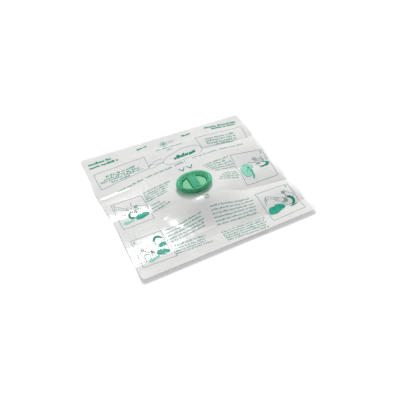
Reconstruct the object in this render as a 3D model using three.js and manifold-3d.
// A disposable mouth-to-mouth resuscitation shield: a printed plastic film with a one-way valve through its middle.
// The film lies on a table as it does once unfolded, so it keeps its pleats, and the valve leans on its conical foot.
// Millimetres, +Z up. The origin is the middle of the film at table height, X runs along the film's long side.
import * as THREE from "three";
import { mergeVertices } from "three/addons/utils/BufferGeometryUtils.js";
import Module from "manifold-3d";

const wasm = await Module();
wasm.setup();

// ---- Driving dimensions ----
const FILM_WIDTH = 210;
const FILM_LENGTH_LEFT = 197; // as it lies: the pleats draw the right side in
const FILM_LENGTH_RIGHT = 187.4;
const FILM_THICKNESS = 0.2;

const RIM_DIAMETER = 42;
const RIM_HEIGHT = 7.4; // above the film, along the valve's axis
const BEAD_RADIUS = 2.4;
const COLLAR_RADIUS = 15; // the neck of the lower housing, which passes through the film
const CLAMP_RADIUS = 17; // outer edge of both clamping flanges
const SEAT_TOP = 4.2;
const SEAT_THICKNESS = 1.2;
const BAR_WIDTH = 9.4;
const BAR_RISE = 1.1;
const MEMBRANE_THICKNESS = 0.4;
const OUTLET_WIDTH = 15;
const OUTLET_DEPTH = 11;
const OUTLET_END = -5.4; // below the film, along the valve's axis

const HUB = { x: -1.9, y: -4.2, z: 7.0 }; // the middle of the film's hole
const LEAN_BACK = 16; // degrees, towards +Y
const LEAN_SIDE = 4; // degrees, towards -X
const TWIST = -7; // degrees about the valve's own axis

const GAP = 0.1; // between touching pieces
const TURNS = 48; // facets round a turned piece

// ---- Sizes that follow ----
const BEAD_CENTRE = [RIM_DIAMETER / 2 - BEAD_RADIUS, RIM_HEIGHT - BEAD_RADIUS];
const NECK_BORE = COLLAR_RADIUS + 0.15;
const WALL = 0.8;
const COLLAR_BORE = COLLAR_RADIUS - WALL;
const SEAT_BOTTOM = SEAT_TOP - SEAT_THICKNESS;
const BAR_TOP = SEAT_TOP + BAR_RISE;
const MEMBRANE_TOP = SEAT_BOTTOM - GAP;
const MEMBRANE_BOTTOM = MEMBRANE_TOP - MEMBRANE_THICKNESS;
const MEMBRANE_RADIUS = COLLAR_BORE - 0.5;
const HINGE_X = BAR_WIDTH / 2;
const CLAMP_FACE = FILM_THICKNESS / 2 + 0.05;
const ADHESIVE_BOTTOM = -CLAMP_FACE - 0.3;
const PEGS = [-7, 7]; // along the bar
const PEG_RADIUS = 1.15;

const degrees = THREE.MathUtils.degToRad;

// ---- Solids ----
function toSolid(geometry) {
  const plain = geometry.index ? geometry.toNonIndexed() : geometry.clone();
  plain.deleteAttribute("normal");
  plain.deleteAttribute("uv");
  const merged = mergeVertices(plain, 1e-4);
  return new wasm.Manifold(
    new wasm.Mesh({
      numProp: 3,
      vertProperties: merged.attributes.position.array,
      triVerts: new Uint32Array(merged.index.array),
    }),
  );
}

function toGeometry(solid) {
  const mesh = solid.getMesh();
  const geometry = new THREE.BufferGeometry();
  geometry.setAttribute("position", new THREE.BufferAttribute(mesh.vertProperties, 3));
  geometry.setIndex(new THREE.BufferAttribute(mesh.triVerts, 1));
  geometry.computeVertexNormals();
  return geometry;
}

// A closed [radius, height] outline, listed anticlockwise, turned about Z.
function turned(outline) {
  const points = outline.map(([r, z]) => new THREE.Vector2(r, z));
  points.push(points[0].clone());
  const geometry = new THREE.LatheGeometry(points, TURNS);
  geometry.rotateX(Math.PI / 2);
  return toSolid(geometry);
}

function prism(shape, bottom, top, curveSegments = 20) {
  const geometry = new THREE.ExtrudeGeometry(shape, {
    depth: top - bottom,
    bevelEnabled: false,
    curveSegments,
  });
  geometry.translate(0, 0, bottom);
  return toSolid(geometry);
}

function block(width, length, bottom, top) {
  const geometry = new THREE.BoxGeometry(width, length, top - bottom);
  geometry.translate(0, 0, (bottom + top) / 2);
  return toSolid(geometry);
}

function post(radius, y, bottom, top) {
  const geometry = new THREE.CylinderGeometry(radius, radius, top - bottom, 16);
  geometry.rotateX(Math.PI / 2);
  geometry.translate(0, y, (bottom + top) / 2);
  return toSolid(geometry);
}

function disc(radius) {
  return new THREE.Shape().absarc(0, 0, radius, 0, 2 * Math.PI, false);
}

function oval(width, depth) {
  return new THREE.Shape().absellipse(0, 0, width / 2, depth / 2, 0, 2 * Math.PI, false, 0);
}

// The piece of a disc of that radius beyond x = inner.
function discEnd(radius, inner) {
  const half = Math.acos(inner / radius);
  return new THREE.Shape().absarc(0, 0, radius, -half, half, false);
}

// Points on an arc of an outline, centre [r, z], angles in degrees, end points included.
function arc([r, z], radius, from, to, steps) {
  return Array.from({ length: steps + 1 }, (_, i) => {
    const angle = degrees(from + ((to - from) * i) / steps);
    return [r + radius * Math.cos(angle), z + radius * Math.sin(angle)];
  });
}

// ---- The valve, in its own frame: +Z along its axis to the rescuer, 0 at the film ----

// The rim that the rescuer's lips close on. Its crest has a narrow flat land, and its foot clamps the film.
function mouthpieceRim() {
  return turned([
    [NECK_BORE, CLAMP_FACE],
    [CLAMP_RADIUS, CLAMP_FACE],
    [CLAMP_RADIUS, CLAMP_FACE + 0.7],
    [NECK_BORE + 0.9, CLAMP_FACE + 1.1],
    [NECK_BORE + 1.1, 2.4],
    ...arc(BEAD_CENTRE, BEAD_RADIUS, -60, 84, 7),
    ...arc(BEAD_CENTRE, BEAD_RADIUS, 96, 170, 3),
    [COLLAR_BORE + 1.2, SEAT_TOP + 0.8],
    [COLLAR_BORE + 0.2, SEAT_TOP + GAP],
    [NECK_BORE, SEAT_TOP + GAP],
  ]);
}

// The disc that the membrane closes against: a bar across the middle and a window on each side of it.
function valveSeat() {
  const window = prism(discEnd(MEMBRANE_RADIUS - 0.8, HINGE_X + 0.6), SEAT_BOTTOM - 1, SEAT_TOP + 1);
  const bar = block(BAR_WIDTH, 2 * COLLAR_BORE - 1.6, SEAT_TOP - 0.5, BAR_TOP);
  let seat = prism(disc(COLLAR_RADIUS), SEAT_BOTTOM, SEAT_TOP, TURNS / 2)
    .subtract(window)
    .subtract(window.rotate([0, 0, 180]))
    .add(bar);
  for (const y of PEGS) seat = seat.subtract(post(PEG_RADIUS + 0.15, y, SEAT_BOTTOM - 1, BAR_TOP - 0.5));
  return seat;
}

// The strip of the silicone membrane that the retainer holds against the bar.
function membraneStrip() {
  const waist = block(BAR_WIDTH - 0.3, 4 * MEMBRANE_RADIUS, MEMBRANE_BOTTOM - 1, MEMBRANE_TOP + 1);
  let strip = prism(disc(MEMBRANE_RADIUS), MEMBRANE_BOTTOM, MEMBRANE_TOP, 24).intersect(waist);
  for (const y of PEGS) {
    strip = strip.subtract(post(PEG_RADIUS + 0.15, y, MEMBRANE_BOTTOM - 1, MEMBRANE_TOP + 1));
  }
  return strip;
}

// The free part of the membrane on +X, which swings away from the seat when the rescuer blows.
function leaflet() {
  return prism(discEnd(MEMBRANE_RADIUS, HINGE_X + 0.05), MEMBRANE_BOTTOM, MEMBRANE_TOP);
}

// The clip under the membrane, with two pegs up into the bar.
function membraneRetainer() {
  const top = MEMBRANE_BOTTOM - GAP;
  let clip = block(6.4, 21, top - 1, top);
  for (const y of PEGS) clip = clip.add(post(PEG_RADIUS, y, top - 0.5, BAR_TOP - 0.7));
  return clip;
}

// The ring of adhesive that seals the film to the lower flange.
function adhesiveRing() {
  return turned([
    [NECK_BORE + 0.05, ADHESIVE_BOTTOM],
    [CLAMP_RADIUS, ADHESIVE_BOTTOM],
    [CLAMP_RADIUS, -CLAMP_FACE],
    [NECK_BORE + 0.05, -CLAMP_FACE],
  ]);
}

// The patient's half: a collar up through the film, a flange under it, a conical chamber and an oval outlet.
function lowerHousing() {
  const flangeTop = ADHESIVE_BOTTOM - 0.05;
  const flangeBottom = flangeTop - 0.9;
  const chamberSide = -2.3;
  const chamberEnd = -3.5;
  const coneEnd = 8.6;
  const cup = turned([
    [3, chamberEnd - WALL],
    [coneEnd, chamberEnd - WALL],
    [COLLAR_RADIUS, chamberSide - 0.2],
    [COLLAR_RADIUS, flangeBottom],
    [CLAMP_RADIUS, flangeBottom],
    [CLAMP_RADIUS, flangeTop],
    [COLLAR_RADIUS, flangeTop],
    [COLLAR_RADIUS, SEAT_BOTTOM - GAP],
    [COLLAR_BORE, SEAT_BOTTOM - GAP],
    [COLLAR_BORE, chamberSide],
    [coneEnd, chamberEnd],
    [3, chamberEnd],
  ]);
  const outlet = prism(oval(OUTLET_WIDTH, OUTLET_DEPTH), OUTLET_END, chamberEnd - 0.2);
  const bore = prism(oval(OUTLET_WIDTH - 2 * WALL, OUTLET_DEPTH - 2 * WALL), OUTLET_END - 1, 0);
  return cup.add(outlet).subtract(bore);
}

// ---- The film ----
// Pleats left by folding run across the film. Each is [place at the left edge, place at the right edge], as a
// share of the film's length from its top edge; the film lies on the table there and arches up between them.
const PLEATS = [
  [-0.13, -0.12],
  [0.09, 0.085],
  [0.215, 0.243],
  [0.42, 0.495],
  [0.557, 0.705],
  [0.867, 0.891],
  [1.12, 1.13],
];
const ARCH_LEFT = 1.7;
const ARCH_RIGHT = 5.3;
const ARCH_SUNK = 0.4; // this much of each arch is pressed flat, so its feet are strips that lie on the table
const TENT = 46; // how far from the valve the film still hangs from it

const lean = new THREE.Euler(-degrees(LEAN_BACK), -degrees(LEAN_SIDE), 0);
const along = new THREE.Vector3(1, 0, 0).applyEuler(lean);
const beside = new THREE.Vector3(0, 1, 0).applyEuler(lean);

// The point of the valve's own plane at that angle and radius.
function onValvePlane(angle, radius) {
  return new THREE.Vector3(HUB.x, HUB.y, HUB.z)
    .addScaledVector(along, radius * Math.cos(angle))
    .addScaledVector(beside, radius * Math.sin(angle));
}

function halfLength(x) {
  return THREE.MathUtils.lerp(FILM_LENGTH_LEFT, FILM_LENGTH_RIGHT, x / FILM_WIDTH + 0.5) / 2;
}

// Height of the pleated film above the table, away from the valve.
function pleatHeight(x, y) {
  const across = THREE.MathUtils.clamp(x / FILM_WIDTH + 0.5, 0, 1);
  const down = (1 - y / halfLength(x)) / 2;
  const places = PLEATS.map(([left, right]) => left + (right - left) * across);
  const next = Math.min(places.length - 1, Math.max(1, places.findIndex((place) => place > down)));
  const span = places[next] - places[next - 1];
  const share = THREE.MathUtils.clamp((down - places[next - 1]) / span, 0, 1);
  const arch = THREE.MathUtils.lerp(ARCH_LEFT, ARCH_RIGHT, across ** 1.6) * Math.min(1, span / 0.2);
  return Math.max(0, (arch * (1 - Math.cos(2 * Math.PI * share))) / 2 - ARCH_SUNK);
}

// Height of the middle of the film's thickness. The film leaves the valve in the valve's plane and comes down.
function filmHeight(x, y) {
  const lying = pleatHeight(x, y) + FILM_THICKNESS / 2;
  const angle = Math.atan2(y - HUB.y, x - HUB.x);
  const edge = onValvePlane(angle, CLAMP_RADIUS + 0.4);
  const edgeDistance = Math.hypot(edge.x - HUB.x, edge.y - HUB.y);
  const distance = Math.hypot(x - HUB.x, y - HUB.y);
  const rise = (edge.z - HUB.z) / edgeDistance;
  if (distance <= edgeDistance) return HUB.z + rise * distance;
  const share = Math.min(1, (distance - edgeDistance) / TENT);
  const hang = (edge.z - FILM_THICKNESS / 2) * (1 - share) ** 2 * (1 + 2 * share);
  const follow = rise * TENT * share * (1 - share) ** 2;
  const settle = share ** 2 * (3 - 2 * share);
  return Math.max(FILM_THICKNESS / 2, hang + follow + lying * settle + (FILM_THICKNESS / 2) * (1 - settle));
}

// The film is a grid of rings that pass from the round hole to the cut edge.
function shieldFilm() {
  const ringStops = [0, 0.05, 0.13, 0.22, 0.32, 0.43, 0.54, 0.66, 0.78, 0.89, 1];
  const sides = [
    { sx: -1, sy: -1, steps: 24 },
    { sx: 1, sy: -1, steps: 22 },
    { sx: 1, sy: 1, steps: 24 },
    { sx: -1, sy: 1, steps: 22 },
  ];
  const corner = ({ sx, sy }) => [(sx * FILM_WIDTH) / 2, sy * halfLength((sx * FILM_WIDTH) / 2)];
  const border = sides.flatMap((side, i) => {
    const [x0, y0] = corner(side);
    const [x1, y1] = corner(sides[(i + 1) % 4]);
    return Array.from({ length: side.steps }, (_, k) => [
      x0 + ((x1 - x0) * k) / side.steps,
      y0 + ((y1 - y0) * k) / side.steps,
    ]);
  });
  const circle = (radius) =>
    border.map(([x, y]) => {
      const point = onValvePlane(Math.atan2(y, x), radius);
      return [point.x, point.y, point.z];
    });
  const foot = circle(CLAMP_RADIUS + 0.4);
  const outer = ringStops.slice(1).map((stop) =>
    border.map(([bx, by], i) => {
      const x = foot[i][0] + (bx - foot[i][0]) * stop;
      const y = foot[i][1] + (by - foot[i][1]) * stop;
      return [x, y, filmHeight(x, y)];
    }),
  );
  const rings = [circle(NECK_BORE + 0.05), foot, ...outer];
  const around = border.length;
  const positions = [];
  for (const side of [1, -1]) {
    for (const ring of rings) {
      for (const [x, y, z] of ring) positions.push(x, y, z + (side * FILM_THICKNESS) / 2);
    }
  }
  const underside = rings.length * around;
  const index = [];
  const quad = (a, b, c, d) => index.push(a, b, c, a, c, d);
  for (let i = 0; i < around; i++) {
    const j = (i + 1) % around;
    for (let ring = 0; ring < rings.length - 1; ring++) {
      const a = ring * around;
      const b = a + around;
      // Both sides are split along the same diagonal, or the two walls of so thin a film would cross.
      quad(a + i, b + i, b + j, a + j);
      quad(underside + a + i, underside + a + j, underside + b + j, underside + b + i);
    }
    const edge = (rings.length - 1) * around;
    quad(edge + i, underside + edge + i, underside + edge + j, edge + j);
    quad(j, underside + j, underside + i, i);
  }
  const geometry = new THREE.BufferGeometry();
  geometry.setAttribute("position", new THREE.Float32BufferAttribute(positions, 3));
  geometry.setIndex(index);
  geometry.computeVertexNormals();
  return geometry;
}

// ---- Materials ----
const clearFilm = new THREE.MeshStandardMaterial({ color: 0xd9dbda, roughness: 0.25, metalness: 0 });
const greenPlastic = new THREE.MeshStandardMaterial({ color: 0x2f9f6b, roughness: 0.2, metalness: 0 });
const paleGreenPlastic = new THREE.MeshStandardMaterial({ color: 0x5fb98a, roughness: 0.25, metalness: 0 });
const silicone = new THREE.MeshStandardMaterial({ color: 0xdfeee4, roughness: 0.45, metalness: 0 });
const adhesive = new THREE.MeshStandardMaterial({ color: 0xe9e6dc, roughness: 0.6, metalness: 0 });

// ---- Assembly ----
const shield = new THREE.Group();
const valve = new THREE.Group();
valve.position.set(HUB.x, HUB.y, HUB.z);
valve.rotation.copy(lean);
shield.add(valve);

// The valve's pieces are turned about its axis inside the leaning group.
const twisted = new THREE.Group();
twisted.rotation.z = degrees(TWIST);
valve.add(twisted);

function piece(parent, name, geometry, material) {
  const mesh = new THREE.Mesh(geometry, material);
  mesh.name = name;
  parent.add(mesh);
}

piece(twisted, "mouthpiece_rim", toGeometry(mouthpieceRim()), greenPlastic);
piece(twisted, "valve_seat", toGeometry(valveSeat()), greenPlastic);
piece(twisted, "membrane_strip", toGeometry(membraneStrip()), silicone);
piece(twisted, "right_leaflet", toGeometry(leaflet()), silicone);
piece(twisted, "left_leaflet", toGeometry(leaflet().rotate([0, 0, 180])), silicone);
piece(twisted, "membrane_retainer", toGeometry(membraneRetainer()), paleGreenPlastic);
piece(twisted, "adhesive_ring", toGeometry(adhesiveRing()), adhesive);
piece(twisted, "lower_housing", toGeometry(lowerHousing()), greenPlastic);
piece(shield, "shield_film", shieldFilm(), clearFilm);

export default shield;
